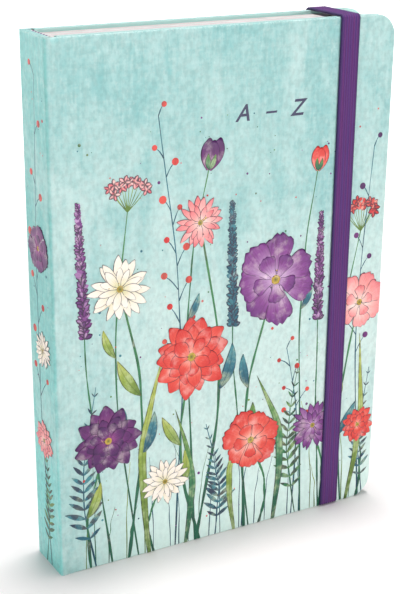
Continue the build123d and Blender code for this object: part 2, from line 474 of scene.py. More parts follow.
def makePetalWash(look):
    # watercolour petals: the tint attribute, streaks along the petal, blooms and a broken ink rim
    f = Finish("petalWash")
    tint, along, across, rim = f.printed()
    x, y, z = f.axes()
    streak = f.noise(1.6, 3.0, 0.6, at=f.join(along * 1.6 + x * 0.12, across * 5.0 + z * 0.12, y * 0.12))
    bloom = f.noise(210.0, 4.0, 0.6)
    broken = f.noise(330.0, 2.0, 0.5)
    dark = f.times(tint, f.mix(0.45, tint, look["wash"]))
    f.colour = tint
    f.paint(streak.ramp(0.44, 0.72) * 0.7, dark)
    f.paint(bloom.ramp(0.48, 0.74) * (1.0 - along * 0.5) * 0.5, look["wash"])
    f.paint(bloom.ramp(0.48, 0.3) * 0.4, dark)
    hair = abs((across * 2.5 + streak * 0.6).fraction() - 0.5).ramp(0.13, 0.04)
    f.paint(hair * along.ramp(0.75, 0.3) * 0.55, dark)
    ink = (rim - broken * 0.24 - 0.7).ramp(0.0, 0.12) * broken.ramp(0.34, 0.44)
    f.paint(ink * 0.9, look["outline"])
    return f.close(look["roughness"], (streak, 0.00004, 0.4), look["gloss"])


def makeLeafWash(look):
    # leaves: a midrib and side veins over a mottled green wash
    f = Finish("leafWash")
    tint, along, across, rim = f.printed()
    side = abs(across)
    midrib = side.ramp(0.16, 0.04)
    veins = abs((along * 9.0 - side * 2.4).fraction() - 0.5).ramp(0.14, 0.03)
    bloom = f.noise(260.0, 4.0, 0.6)
    broken = f.noise(420.0, 2.0, 0.5)
    dark = f.times(tint, (0.45, 0.5, 0.5, 1.0))
    f.colour = tint
    f.paint(bloom.ramp(0.42, 0.7) * 0.5, look["leafLight"])
    f.paint(bloom.ramp(0.5, 0.3) * 0.4, dark)
    f.paint(midrib.most(veins * 0.5) * 0.6, dark)
    f.paint(rim.ramp(0.75, 0.92) * broken.ramp(0.42, 0.56) * 0.7, look["outline"])
    return f.close(look["roughness"], (1.0 - midrib.most(veins * 0.4), 0.00004, 0.3), look["gloss"])


def makeStemInk(look):
    # stems and berries: brushed colour in darker and paler pools
    f = Finish("stemInk")
    f.colour = f.attribute("tint")[0]
    pool = f.noise(380.0, 3.0, 0.6, (1.0, 1.0, 0.4))
    f.paint(pool.ramp(0.42, 0.66) * 0.8, f.times(f.colour, (0.4, 0.42, 0.48, 1.0)))
    f.paint(pool.ramp(0.62, 0.8) * 0.35, look["wash"])
    return f.close(look["roughness"], (pool, 0.00003, 0.4), look["gloss"])


def makeMarkInk():
    # dark violet lettering, rubbed a little paler
    f = Finish("markInk", rgb(40, 40, 80))
    rub = f.noise(900.0, 3.0, 0.6)
    f.paint(rub.ramp(0.5, 0.75) * 0.5, rgb(68, 66, 112))
    return f.close(0.38, (rub, 0.00002, 0.4))


elasticLook = {
    "width": 7.4,
    "thick": 0.9,
    "ribs": 8,
    "ribDepth": 0.13,
    "centre": 44.3,
    "middle": rgb(90, 54, 124),
    "magenta": rgb(104, 49, 117),
    "edge": rgb(62, 42, 96),
    "pick": 0.42,           # from one crosswise thread to the next
}


def makeElasticWeave(look):
    # lengthwise rubber ribs with fine crosswise picks; the band's width always runs along X
    f = Finish("elasticWeave")
    x, y, z = f.axes()
    run = y + z
    across = (x - look["centre"]) / look["width"]
    ribs = (across + 0.5) * look["ribs"]
    rib = abs((ribs * math.pi).sine())
    pick = ((run / look["pick"] + ribs.maths("FLOOR") * 0.5) * fullTurn).sine() * 0.5 + 0.5
    tone = f.noise(1.0, 2.0, 0.5, at=f.join(across * 9.0, run * 0.014))
    fuzz = f.noise(2600.0, 3.0, 0.65)
    f.colour = f.mix(tone.ramp(0.36, 0.62), look["middle"], look["magenta"])
    f.paint(abs(across).ramp(0.37, 0.47), look["edge"])
    dark = f.times(f.colour, (0.5, 0.46, 0.6, 1.0))
    # painted shade: darker in the grooves between the ribs
    f.paint(rib.ramp(0.7, 0.1) * 0.75, dark)
    f.paint((1.0 - pick) * 0.3 + fuzz.ramp(0.5, 0.8) * 0.12, dark)
    sheen = {"Specular IOR Level": 0.3, "Sheen Weight": 0.12, "Sheen Roughness": 0.4}
    return f.close(0.62 + fuzz * 0.2, (rib * 0.5 + pick * 0.3 + fuzz * 0.2, 0.00012, 0.8), sheen)


pageLook = {
    "paper": rgb(246, 245, 242),
    # the fibres' tone, and the painted shade of the lines between the leaves on the cut edges
    "shade": rgb(220, 220, 224),
    "blush": rgb(242, 204, 213),
    "blushStep": 4.08,       # from one tinted leaf edge to the next
    "blushStart": 5.1,
    "blushHalf": 0.45,
    "rule": rgb(150, 176, 182),
    "ruleStep": 9.0,
    "margin": rgb(206, 158, 178),
    "marginX": -22.0,
    "lineEdge": (0.2, 0.1),
    # where the ruled area and the tab's tint start and end, each over a short step
    "ruledSides": ((-50.5, -50.0), (50.0, 49.5)),
    "ruledEnds": ((11.5, 12.0), (165.0, 164.5)),
    "tabSide": (53.2, 53.5),
    "tabEnds": ((0.0, 0.2), (13.5, 13.3)),
    "tabs": [rgb(176, 218, 212), rgb(206, 186, 220), rgb(244, 190, 180), rgb(238, 226, 180)],
}


def makePagePaper(look):
    # leaves: fine dark lines between the leaves on the cut edges as painted shade, ruled entry lines on the
    # faces and a tinted index tab
    f = Finish("pagePaper", look["paper"])
    x, y, z = f.axes()
    fibre = f.noise(900.0, 4.0, 0.65)
    tabTint = f.attribute("tabTint")[0]
    rise = z - f.attribute("tabFoot")[2]
    onTab = x.ramp(*look["tabSide"]) * rise.within(*look["tabEnds"])
    ruled = x.within(*look["ruledSides"]) * z.within(*look["ruledEnds"])
    line = abs((z / look["ruleStep"]).fraction() - 0.5) * look["ruleStep"]
    f.paint(fibre.ramp(0.35, 0.75) * 0.18, look["shade"])
    f.paint(line.ramp(*look["lineEdge"]) * ruled * 0.8, look["rule"])
    f.paint(abs(x - look["marginX"]).ramp(*look["lineEdge"]) * ruled * 0.7, look["margin"])
    f.paint(onTab, tabTint)
    faceColour = f.colour
    f.colour = look["paper"]
    # painted shade: fine dark lines along the cut edges, between the leaves
    cut = f.noise(1.0, 2.0, 0.6, at=f.join(x * 0.006, y * 3.8, z * 0.006))
    stack = f.noise(1.0, 2.0, 0.5, at=f.join(x * 0.003, y * 0.62, z * 0.003))
    f.paint(cut.ramp(0.46, 0.7), look["shade"])
    step, half = look["blushStep"], look["blushHalf"]
    nearest = abs(((y - look["blushStart"]) / step + 20.5).fraction() - 0.5) * step
    tinted = nearest.ramp(half * 1.3, half * 0.7)
    f.paint(tinted.most(stack.ramp(0.52, 0.74) * 0.2) * 0.8, look["blush"])
    f.paint(onTab * 0.45, tabTint)
    f.paint(abs(f.split(f.facing)[1]).ramp(0.5, 0.7), faceColour)
    return f.close(0.74 + fibre * 0.1, (fibre, 0.00003, 0.4), {"Specular IOR Level": 0.25})


def makeEndpaper():
    # uncoated ivory endpaper with soft fibres
    f = Finish("endpaper", rgb(240, 238, 232))
    fibre = f.noise(520.0, 4.0, 0.65, (1.0, 1.0, 0.3))
    f.paint(fibre.ramp(0.4, 0.75) * 0.3, rgb(220, 220, 216))
    f.paint(f.noise(60.0, 3.0, 0.6).ramp(0.45, 0.75) * 0.25, rgb(228, 236, 232))
    return f.close(0.75 + fibre * 0.1, (fibre, 0.00004, 0.4), {"Specular IOR Level": 0.25})


def makeGreyboard():
    # pulp board, pressed in layers
    f = Finish("greyboard", rgb(158, 154, 146))
    pulp = f.noise(700.0, 5.0, 0.7)
    layer = f.noise(2600.0, 2.0, 0.5, (0.1, 1.0, 0.1))
    f.paint(pulp.ramp(0.35, 0.75), rgb(112, 108, 102))
    f.paint(layer.ramp(0.5, 0.7) * 0.3, rgb(190, 186, 178))
    return f.close(0.9, (pulp, 0.0001, 0.6))


def makeClothFinish(name, light, dark, threadStep):
    # open plain weave, for the lining and the tapes of the headbands
    f = Finish(name, dark)
    x, y, z = f.axes()
    threads = fullTurn / threadStep
    weave = (y * threads).sine() * (z * threads).sine() * 0.5 + 0.5
    f.paint(weave * 0.7 + f.noise(1500.0, 3.0, 0.6) * 0.3, light)
    return f.close(0.85, (weave, 0.0001, 0.7), {"Sheen Weight": 0.1})


def makeThreadFinish(light, dark, twistStep):
    # twisted thread; the stitches of the headbands alternate by their stripe attribute
    f = Finish("sewingThread", light)
    x, y, z = f.axes()
    twist = ((y + z * 0.6 + x * 0.6) * (fullTurn / twistStep)).sine() * 0.5 + 0.5
    f.paint(f.attribute("stripe")[2], dark)
    f.paint(twist * 0.5, f.times(f.colour, (0.62, 0.62, 0.66, 1.0)))
    return f.close(0.65, (twist, 0.00008, 0.6), {"Sheen Weight": 0.1})


paperFinish = makeCoverPaper(coverPaper)
petalFinish = makePetalWash(printInk)
leafFinish = makeLeafWash(printInk)
stemFinish = makeStemInk(printInk)
markFinish = makeMarkInk()
elasticFinish = makeElasticWeave(elasticLook)
pageFinish = makePagePaper(pageLook)
endpaperFinish = makeEndpaper()
boardFinish = makeGreyboard()
liningFinish = makeClothFinish("liningGauze", rgb(236, 232, 222), rgb(186, 180, 168), 0.9)
tapeFinish = makeClothFinish("headbandTape", rgb(238, 236, 230), rgb(200, 196, 190), 0.35)
threadFinish = makeThreadFinish(rgb(238, 236, 230), rgb(112, 62, 136), 0.32)

for finish, nodeNames in (
    (paperFinish, ("front_cover_wrap", "back_cover_wrap", "spine_wrap")),
    (boardFinish, ("front_board", "back_board", "spine_board")),
    (endpaperFinish, ("front_pastedown", "back_pastedown", "front_flyleaf", "back_flyleaf")),
    (liningFinish, ("spine_lining",)),
    (threadFinish, ("sewing_thread",)),
    (tapeFinish, ("headband", "tailband")),
):
    for nodeName in nodeNames:
        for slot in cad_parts[nodeName].material_slots:
            slot.material = finish
print("finishes made:", len(bpy.data.materials))


# joints of the case: bare paper between the spine and a cover, with a dip along the crease

jointStrip = {"columns": 24, "rows": 60, "low": 0.0, "high": book["height"], "rounding": 0.12}


def creaseDip(x):
    # how far the paper dips between the spine and a board
    share = (x - book["spineInner"]) / (book["boardStart"] - book["spineInner"])
    return book["crease"] * math.sin(math.pi * share) ** 2 if 0 < share < 1 else 0.0


def jointSection(share):
    x = book["spineInner"] + (book["boardStart"] - book["spineInner"]) * share
    surface = book["halfThick"] - creaseDip(x)
    return (x, surface), (x, surface - book["paper"])


for name, side, node, bodies in (
    ("frontJointPaper", -1, "front_joint_strip", ("spine", "front_cover")),
    ("backJointPaper", 1, "back_joint_strip", ("spine", "back_cover")),
):
    strip = makeSheet(name, side, jointStrip, jointSection, paperFinish)
    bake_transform(strip)
    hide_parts(node)
print("joint papers made")


# printed flowers: flat motifs in print space (x along the wrap, z up, -y the lift), then laid on the cover

inkTones = {
    # root, middle and tip
    "violet": (rgb(214, 180, 220), rgb(138, 66, 146), rgb(92, 36, 112)),
    "plum": (rgb(176, 92, 160), rgb(106, 36, 112), rgb(66, 24, 86)),
    "coral": (rgb(252, 196, 180), rgb(232, 84, 70), rgb(214, 44, 44)),
    "pink": (rgb(252, 232, 224), rgb(246, 172, 170), rgb(230, 108, 118)),
    "cream": (rgb(226, 222, 172), rgb(250, 242, 228), rgb(253, 248, 240)),
    "centre": (rgb(92, 104, 40), rgb(206, 176, 70), rgb(120, 84, 30)),
    "leaf": (rgb(24, 96, 72), rgb(60, 132, 84), rgb(122, 160, 70)),
    "teal": (rgb(22, 78, 98), rgb(40, 110, 130), rgb(76, 150, 160)),
    "lime": (rgb(86, 122, 46), rgb(146, 170, 70), rgb(190, 196, 92)),
    "plain": ((1, 1, 1, 1),) * 3,
}
seedSpeck = rgb(60, 32, 54)
pollenSpeck = rgb(226, 190, 84)


def toneAt(toneName, share):
    # from the root's colour over the middle one to the tip's
    root, middle, tip = inkTones[toneName]
    first, second, part = (root, middle, share * 2) if share < 0.5 else (middle, tip, share * 2 - 1)
    return tuple(a + (b - a) * part for a, b in zip(first, second))


class Print:
    # one printed layer: spots are a point with its tint and grain
    def __init__(self):
        self.spots = []
        self.faces = []

    def grid(self, rows):
        # rows of spots, joined into quads that face -y
        wide = len(rows[0])
        for row in rows:
            first = len(self.spots)
            if row is not rows[-1]:
                self.faces += [(a, a + wide, a + wide + 1, a + 1) for a in range(first, first + wide - 1)]
            self.spots += row

    def disc(self, rings):
        # a middle spot and closed rings round it, facing -y
        first = len(self.spots)
        for ring in rings:
            self.spots += ring
        sides = len(rings[1])
        for s in range(sides):
            t = (s + 1) % sides
            self.faces.append((first, first + 1 + s, first + 1 + t))
            for r in range(len(rings) - 2):
                a, b = first + 1 + r * sides + s, first + 1 + r * sides + t
                self.faces.append((a, a + sides, b + sides, b))

    def mesh(self, name):
        points, tints, grains = zip(*self.spots)
        return carry(meshFrom(name, points, self.faces), tint=tints, grain=grains)


petalShapes = {
    # width along the petal from root to tip, and how far the sides of the tip fall back
    "ray": ([0.3, 0.62, 0.85, 0.97, 1.0, 0.96, 0.86, 0.64, 0.26], 0.05),
    "fan": ([0.34, 0.42, 0.52, 0.66, 0.82, 0.94, 1.0, 0.96, 0.76], 0.15),
    "round": ([0.3, 0.56, 0.78, 0.93, 1.0, 0.98, 0.88, 0.68, 0.36], 0.08),
    "leaf": ([0.1, 0.5, 0.8, 0.97, 1.0, 0.9, 0.7, 0.42, 0.06], 0.0),
}
fineColumns, coarseColumns = 9, 5
rimReach = 1.5          # width of the band in which the grain's rim value fades
petalDome, discDome = 0.012, 0.04


def rimValue(inset):
    return max(0.0, 1 - inset / rimReach)


def drawPetal(layer, root, heading, length, width, shape, tone, lift, bend=0.0, teeth=0.0,
              shade=(0.0, 1.0), coarse=False):
    # one petal or leaf from its root, heading in radians from +x towards +z
    widths, fall = petalShapes[shape]
    widths = widths[::2] if coarse else widths
    columns = coarseColumns if coarse else fineColumns
    rows = []
    spot = Vector(root)
    steps = len(widths) - 1
    for r, breadth in enumerate(widths):
        along = r / steps
        turn = heading + bend * along
        forward = Vector((math.cos(turn), math.sin(turn)))
        if r:
            spot = spot + forward * (length / steps)
        across = Vector((-forward.y, forward.x))
        half = breadth * width / 2
        tint = toneAt(tone, shade[0] + (shade[1] - shade[0]) * along)
        row = []
        for c in range(columns):
            side = 2 * c / (columns - 1) - 1
            notch = teeth * along ** 6 * (0.5 + 0.5 * math.cos(3 * math.pi * side))
            back = fall * side * side * along ** 3 + notch
            flat = spot + across * (side * half) - forward * (back * length)
            rim = rimValue(min((1 - abs(side)) * half, (1 - along) * length + 0.05))
            dome = petalDome * (1 - side * side) * math.sin(math.pi * min(1.0, along + 0.1))
            row.append(((flat.x, -(lift + dome), flat.y), tint, (along, side, rim)))
        rows.append(row[::-1])
    layer.grid(rows)


def drawDisc(layer, centre, radius, tone, lift, rings=4, sides=24, lobes=0.05):
    # the domed middle of a flower
    found = [[((centre[0], -(lift + discDome), centre[1]), toneAt(tone, 0.0), (0.0, 0.0, 0.0))]]
    for r in range(1, rings + 1):
        share = r / rings
        height = -(lift + discDome * (1 - share * share))
        ring = []
        for s in range(sides):
            angle = fullTurn * s / sides
            x, z = ahead(centre, angle, radius * share * (1 + lobes * math.sin(angle * 5 + centre[0])))
            grain = (share, math.sin(angle), rimValue(radius * (1 - share)) * share)
            ring.append(((x, height, z), toneAt(tone, share), grain))
        found.append(ring)
    layer.disc(found)


def ahead(spot, heading, reach):
    return (spot[0] + reach * math.cos(heading), spot[1] + reach * math.sin(heading))


def bezier(a, b, c, d, count):
    points = []
    for i in range(count + 1):
        t = i / count
        s = 1 - t
        points.append(tuple(s ** 3 * p + 3 * s * s * t * q + 3 * s * t * t * r + t ** 3 * w
                            for p, q, r, w in zip(a, b, c, d)))
    return points


def headingOf(path, i):
    before, after = path[max(i - 1, 0)], path[min(i + 1, len(path) - 1)]
    return math.atan2(after[1] - before[1], after[0] - before[0])


def backAlong(path, reach):
    # the spot that lies this far back from the end of a path, and the heading there
    for i in range(len(path) - 1, 0, -1):
        step = math.dist(path[i], path[i - 1])
        if reach <= step:
            share = reach / step
            return tuple(a + (b - a) * share for a, b in zip(path[i], path[i - 1])), headingOf(path, i)
        reach -= step
    return path[0], headingOf(path, 0)


def makeStemTree():
    # a round brush line along each chain, pressed flat against the paper
    graph, wires = startTree("brushLine", Sides="Int", Flatness="Float", Finish="Material")
    curve = graph.add("GeometryNodeMeshToCurve", {0: wires[0]})[0]
    ring = graph.add("GeometryNodeCurvePrimitiveCircle", {0: wires[1], 4: 1.0})[0]
    tube = graph.add("GeometryNodeCurveToMesh", {0: curve, 1: ring, 2: graph.named("girth"), 3: True})[0]
    x, y, z = graph.split(graph.add("GeometryNodeInputPosition")[0])
    flat = graph.add("GeometryNodeSetPosition", {0: tube, 2: graph.join(x, y * wires[2], z)})[0]
    soft = graph.add("GeometryNodeSetShadeSmooth", {0: flat})[0]
    return endTree(graph, soft, wires[3])


def makeSprinkleTree():
    # one small motif at every point, turned and sized by the point's own values
    graph, wires = startTree("sprinkle", Motif="Object", Finish="Material")
    motif = graph.add("GeometryNodeObjectInfo", {0: wires[1]})[4]
    size = graph.named("size")
    turn = graph.join(y=graph.named("spin"))
    scale = graph.join(size, 1.0, size)
    copies = graph.add("GeometryNodeInstanceOnPoints", {0: wires[0], 2: motif, 5: turn, 6: scale})[0]
    return endTree(graph, copies, wires[2])


stemTree = makeStemTree()
sprinkleTree = makeSprinkleTree()


def thicken(mesh, name, depth):
    # a printed layer as a closed film that reaches a little into the paper
    holder = newObject(name + ".film", mesh)
    film = holder.modifiers.new("film", "SOLIDIFY")
    film.thickness = depth * mm
    film.offset = -1.0
    return plainMesh(holder)


motifLook = {
    "lift": 0.03,
    "depth": 0.06,
    "dot": {"radius": 1.0, "rings": 1, "sides": 14, "lobes": 0.0},
    "leaflet": {"heading": 0.0, "length": 1.0, "width": 0.24, "shape": "leaf", "coarse": True},
    "floret": {"heading": 0.0, "length": 1.0, "width": 0.62, "shape": "round", "coarse": True},
}


def makeMotif(name, draw, details):
    # a small shape of unit size, growing along +x, without a tint of its own
    layer = Print()
    draw(layer, (0, 0), tone="plain", lift=motifLook["lift"], **details)
    mesh = layer.mesh(name)
    mesh.attributes.remove(mesh.attributes["tint"])
    holder = newObject(name, thicken(mesh, name, motifLook["depth"]))
    holder.hide_render = True
    return holder


motifs = {
    "Dots": makeMotif("dotMotif", drawDisc, motifLook["dot"]),
    "Leaflets": makeMotif("leafletMotif", drawPetal, motifLook["leaflet"]),
    "Florets": makeMotif("floretMotif", drawPetal, motifLook["floret"]),
}


def sprinkle(name, spots, motif, finish):
    # spots are (place, lift, size, tint, spin)
    places, rises, sizes, tints, spins = zip(*spots)
    mesh = meshFrom(name, [(x, -rise, z) for (x, z), rise in zip(places, rises)], [])
    carry(mesh, size=sizes, spin=[-spin for spin in spins], tint=tints)
    return grow(name, mesh, sprinkleTree, {"Motif": motif, "Finish": finish})


# how the print meets the cover's edges

coverEdge = {
    "reach": 2.3,           # a flat layer is cut this far past the start of the rounded edge
    "overhang": 1.6,        # a small motif may reach this far past it
    "bendFrom": -0.3,
    "bendTo": 1.1,
    "step": 0.4,            # longest edge of a face where the sheet bends
    "rounds": 5,
    "jointInset": 0.2,      # the bend at the joint starts this far inside the board's edge
    "spinePast": 1.6,       # and the one round the spine's edge ends this far past it
    "endGap": 0.05,
}


def pastEdge(x, z):
    # how far a point lies past the start of the cover's rounded edge, and which way is out
    corner, inset = book["cornerRadius"], book["edgeRadius"]
    side = x - book["halfWidth"] + corner
    for cornerZ, up in ((corner, -1), (book["height"] - corner, 1)):
        rise = (z - cornerZ) * up
        if side > 0 and rise > 0:
            reach = math.hypot(side, rise)
            return reach - corner + inset, (side / reach, up * rise / reach)
    return max(
        (x - book["halfWidth"] + inset, (1.0, 0.0)),
        (inset - z, (0.0, -1.0)),
        (z - book["height"] + inset, (0.0, 1.0)),
    )


def bendZone(x, z):
    # 0 on the face, 1 where the sheet bends, 2 and 3 beyond a bend
    if x < book["boardStart"] + coverEdge["jointInset"]:
        return 1 if x > -book["halfWidth"] - coverEdge["spinePast"] else 3
    past = pastEdge(x, z)[0]
    return 0 if past < coverEdge["bendFrom"] else 1 if past < coverEdge["bendTo"] else 2


def refine(mesh, flip, trim=False):
    # shorter edges where the sheet bends; a flat layer also loses what hangs past the edge
    work = bmesh.new()
    work.from_mesh(mesh)
    step = coverEdge["step"] * mm
    for turn in range(coverEdge["rounds"]):
        zones = [bendZone(v.co.x / mm * flip, v.co.z / mm) for v in work.verts]
        work.verts.index_update()
        rough = []
        for edge in work.edges:
            a, b = (zones[v.index] for v in edge.verts)
            if (a != b or a == 1) and edge.calc_length() > step:
                rough.append(edge)
        if not rough:
            break
        bmesh.ops.subdivide_edges(work, edges=rough, cuts=1, use_grid_fill=True)
    if trim:
        far = []
        for face in work.faces:
            if min(pastEdge(v.co.x / mm * flip, v.co.z / mm)[0] for v in face.verts) > coverEdge["reach"]:
                far.append(face)
        bmesh.ops.delete(work, geom=far, context="FACES")
    bmesh.ops.triangulate(work, faces=[face for face in work.faces if len(face.verts) > 4])
    work.to_mesh(mesh)
    work.free()
    return mesh


def onCover(x, lift, z, side):
    # over a cover's face, round its rounded edge and on to the edge itself
    past, out = pastEdge(x, z)
    if past <= 0:
        return (x, side * (book["halfThick"] + lift), z)
    radius = book["edgeRadius"]
    reach = radius + lift
    turned = min(past / radius, math.pi / 2)
    down = radius - reach * math.cos(turned) + max(0.0, past - radius * math.pi / 2)
    outward = reach * math.sin(turned) - past
    return (x + out[0] * outward, side * (book["halfThick"] - down), z + out[1] * outward)


def onFrontAndSpine(x, lift, z):
    # print space to the case: over the front, round the spine's edge and down the spine
    if x > book["boardStart"]:
        return onCover(x, lift, z, -1)
    front = -book["halfThick"]
    z = min(max(z, coverEdge["endGap"]), book["height"] - coverEdge["endGap"])
    radius = book["spineRadius"]
    edge = -book["halfWidth"] + radius
    turned = (edge - x) / radius
    if turned <= 0:
        return (x, front + creaseDip(x) - lift, z)
    if turned < math.pi / 2:
        reach = radius + lift
        return (edge - reach * math.sin(turned), front + radius - reach * math.cos(turned), z)
    return (-book["halfWidth"] - lift, front + radius + (edge - x) - radius * math.pi / 2, z)


def onBack(x, lift, z):
    return onCover(-x, lift, z, 1)


def lay(piece, placing):
    for vertex in piece.data.vertices:
        x, y, z = vertex.co / mm
        vertex.co = Vector(placing(x, -y, z)) * mm
    piece.data.update()


flowerKinds = {
    # petals, reach, breadth, shape and notch of each ring from the outside in, and the heart's size
    "ray": ([(17, 1.0, 0.28, "ray", 0.0), (11, 0.66, 0.24, "ray", 0.0)], 0.23),
    "fan": ([(7, 1.0, 0.74, "fan", 0.08), (5, 0.52, 0.42, "fan", 0.06)], 0.14),
    "full": (
        [(13, 1.0, 0.46, "round", 0.0), (11, 0.74, 0.4, "round", 0.0), (8, 0.48, 0.34, "round", 0.0)],
        0.15,
    ),
}
lifts = {
    # how far the layers stand off the paper
    "grass": 0.012,
    "line": 0.02,
    "blade": 0.026,
    "leaf": 0.03,
    "bud": 0.04,
    "flower": 0.06,
    "sepal": 0.07,
    "petalStep": 0.004,
    # and small motifs off their own place
    "leafletStep": 0.002,
    "floretStep": 0.003,
    "blossom": 0.02,
    "berry": 0.03,
    "seed": 0.03,
    "pollen": 0.06,
}
girths = {
    # of the brush lines, at the root and at the tip
    "stem": (0.58, 0.319),
    "slender": (0.36, 0.198),
    "fern": (0.3, 0.12),
    "spike": (0.38, 0.16),
    "sprig": (0.32, 0.14),
    "twig": (0.2, 0.12),
    "ray": (0.16, 0.1),
    "grass": (0.2, 0.07),
}
filmDepth = 0.1
brush = {"Sides": 8, "Flatness": 0.14, "Finish": stemFinish}


class Meadow:
    # everything printed on one sheet, gathered before it is made; flip -1 is the back cover
    def __init__(self, seed, flip):
        self.chance = random.Random(seed)
        self.some = self.chance.uniform
        self.flip = flip
        self.foot = -1.2            # stems start on the turned edge below the face
        self.petals = Print()
        self.leaves = Print()
        self.lines = []             # spots of the brush lines: a point with its girth and tint
        self.strokes = []
        self.dots = []
        self.leaflets = []
        self.florets = []

    def tint(self, tone, low, high):
        return toneAt(tone, self.some(low, high))

    def path(self, footX, lean, top, count):
        # a curve from the foot of the sheet with the small waver of a hand
        sway, start = self.some(0.1, 0.35), self.some(0, 6)
        points = []
        for i, (x, z) in enumerate(bezier((footX, self.foot), lean, lean, top, count)):
            points.append((x + sway * math.sin(start + i * 14 / count) * math.sin(math.pi * i / count), z))
        return points

    def line(self, path, kind, tone, lift=lifts["line"]):
        # a brush line that thins towards its tip
        girth, tip = girths[kind]
        first = len(self.lines)
        for i, (x, z) in enumerate(path):
            share = i / (len(path) - 1)
            pressure = 1 + 0.22 * math.sin(i * 0.9 + x) + 0.12 * math.sin(i * 2.3 + z)
            width = (girth + (tip - girth) * share) * pressure * mm
            self.lines.append(((x, -lift, z), width, toneAt(tone, share * 0.65)))
        self.strokes += [(i, i + 1) for i in range(first, len(self.lines) - 1)]

    def branch(self, root, end, rise, kind, tone):
        # a fine line, bowed a little
        bow = ((root[0] + end[0]) / 2, (root[1] + end[1]) / 2 + rise)
        self.line(bezier(root, bow, bow, end, 8), kind, tone)

    def stem(self, footX, lean, top, kind="stem", leaves=2, leafSize=15):
        # a stalk with leaves on alternate sides
        path = self.path(footX, lean, top, 26)
        self.line(path, kind, "leaf")
        for k in range(leaves):
            i = int(len(path) * (0.2 + 0.5 * (k + 0.5) / leaves))
            side = 1 if k % 2 else -1
            heading = headingOf(path, i) + side * self.some(0.5, 0.8)
            size = leafSize * self.some(0.8, 1.15)
            tone = self.chance.choice(("leaf", "lime", "teal"))
            drawPetal(self.leaves, path[i], heading, size, size * 0.27, "leaf", tone,
                      lifts["leaf"] + lifts["petalStep"] * k, bend=-side * self.some(0.3, 0.8))
        return path

    def flower(self, kind, tone, at, radius, footX=None, lean=None, leaves=2):
        # rings of petals, each petal a hair above the last, and a domed middle with its seeds
        if footX is not None:
            self.stem(footX, lean, at, leaves=leaves)
        chance = random.Random(self.chance.randint(0, 9999))
        rings, heartShare = flowerKinds[kind]
        lift = lifts["flower"]
        start = chance.uniform(0, fullTurn)
        for number, (count, reach, breadth, shape, teeth) in enumerate(rings):
            for k in list(range(0, count, 2)) + list(range(1, count, 2)):
                heading = start + fullTurn * (k + 0.5 * number) / count + chance.uniform(-0.09, 0.09)
                length = radius * reach * chance.uniform(0.84, 1.05) * 0.9
                width = radius * breadth * chance.uniform(0.84, 1.12)
                dark = 0.12 * number + chance.uniform(-0.16, 0.14)
                drawPetal(self.petals, ahead(at, heading, 0.1 * radius), heading, length, width, shape, tone,
                          lift, chance.uniform(-0.28, 0.28), teeth, (max(0.0, dark), min(1.0, 0.82 + dark)))
                lift += lifts["petalStep"]
        heart = radius * heartShare
        drawDisc(self.petals, at, heart, "centre", lift)
        for k in range(int(12 + radius)):
            angle = chance.uniform(0, fullTurn)
            spot = ahead(at, angle, heart * chance.uniform(0.6, 1.55))
            size = chance.uniform(0.16, 0.34)
            tint = chance.choice((seedSpeck, pollenSpeck))
            self.dots.append((spot, lift + lifts["seed"], size, tint, 0.0))

    def bud(self, at, size, tone, footX, lean):
        # a half-open bud: three petals held by two sepals
        path = self.stem(footX, lean, at, "slender", 1, 11)
        heading = headingOf(path, len(path) - 1)
        for k, turn in enumerate((-0.34, 0.34, 0.0)):
            drawPetal(self.petals, at, heading + turn, size * (1.0 - 0.06 * k), size * 0.52, "round", tone,
                      lifts["bud"] + lifts["petalStep"] * k, bend=-turn * 0.8, shade=(0.2, 0.9))
        for turn in (-0.55, 0.55):
            drawPetal(self.leaves, at, heading + turn, size * 0.5, size * 0.17, "leaf", "leaf",
                      lifts["sepal"], bend=-turn)

    def blade(self, footX, lean, top, width, tone, steps=22):
        # a long grass leaf along a curve
        path = self.path(footX, lean, top, steps)
        rows = []
        for i, spot in enumerate(path):
            along = i / steps
            acrossTurn = headingOf(path, i) + math.pi / 2
            half = max(0.03, width / 2 * math.sin(math.pi * (0.12 + 0.88 * along)) ** 0.8)
            row = []
            for side in (1, 0.5, 0, -0.5, -1):
                x, z = ahead(spot, acrossTurn, half * side)
                height = -(lifts["blade"] + 0.01 * (1 - side * side))
                grain = (0.0, side, rimValue((1 - abs(side)) * half))
                row.append(((x, height, z), toneAt(tone, along), grain))
            rows.append(row)
        self.leaves.grid(rows)

    def grass(self, count, low, high, tallest):
        # hair-thin strokes from the foot of the sheet
        for k in range(count):
            x = low + (high - low) * (k + self.some(0.1, 0.9)) / count
            tall = tallest * self.some(0.4, 1.0)
            sway = self.some(-0.2, 0.2) * tall
            path = self.path(x, (x + sway * 0.1, tall * 0.6), (x + sway, tall), 16)
            self.line(path, "grass", self.chance.choice(("teal", "leaf", "lime")), lifts["grass"])

    def fern(self, footX, lean, top, tone, size, steps=32):
        # pairs of leaflets, shorter towards the tip
        path = self.path(footX, lean, top, steps)
        self.line(path, "fern", tone)
        for i in range(5, steps + 1, 2):
            share = i / steps
            reach = size * (1.06 - share) ** 0.8 * min(1.0, share * 4)
            for side in (-1, 1):
                spin = headingOf(path, i) + side * (1.05 - 0.35 * share) + self.some(-0.08, 0.08)
                tint = self.tint(tone, 0.1, 0.95)
                length = reach * self.some(0.85, 1.1) + 0.6
                self.leaflets.append((path[i], lifts["leafletStep"] * (i % 5), length, tint, spin))

    def spike(self, footX, lean, top, tone, rise):
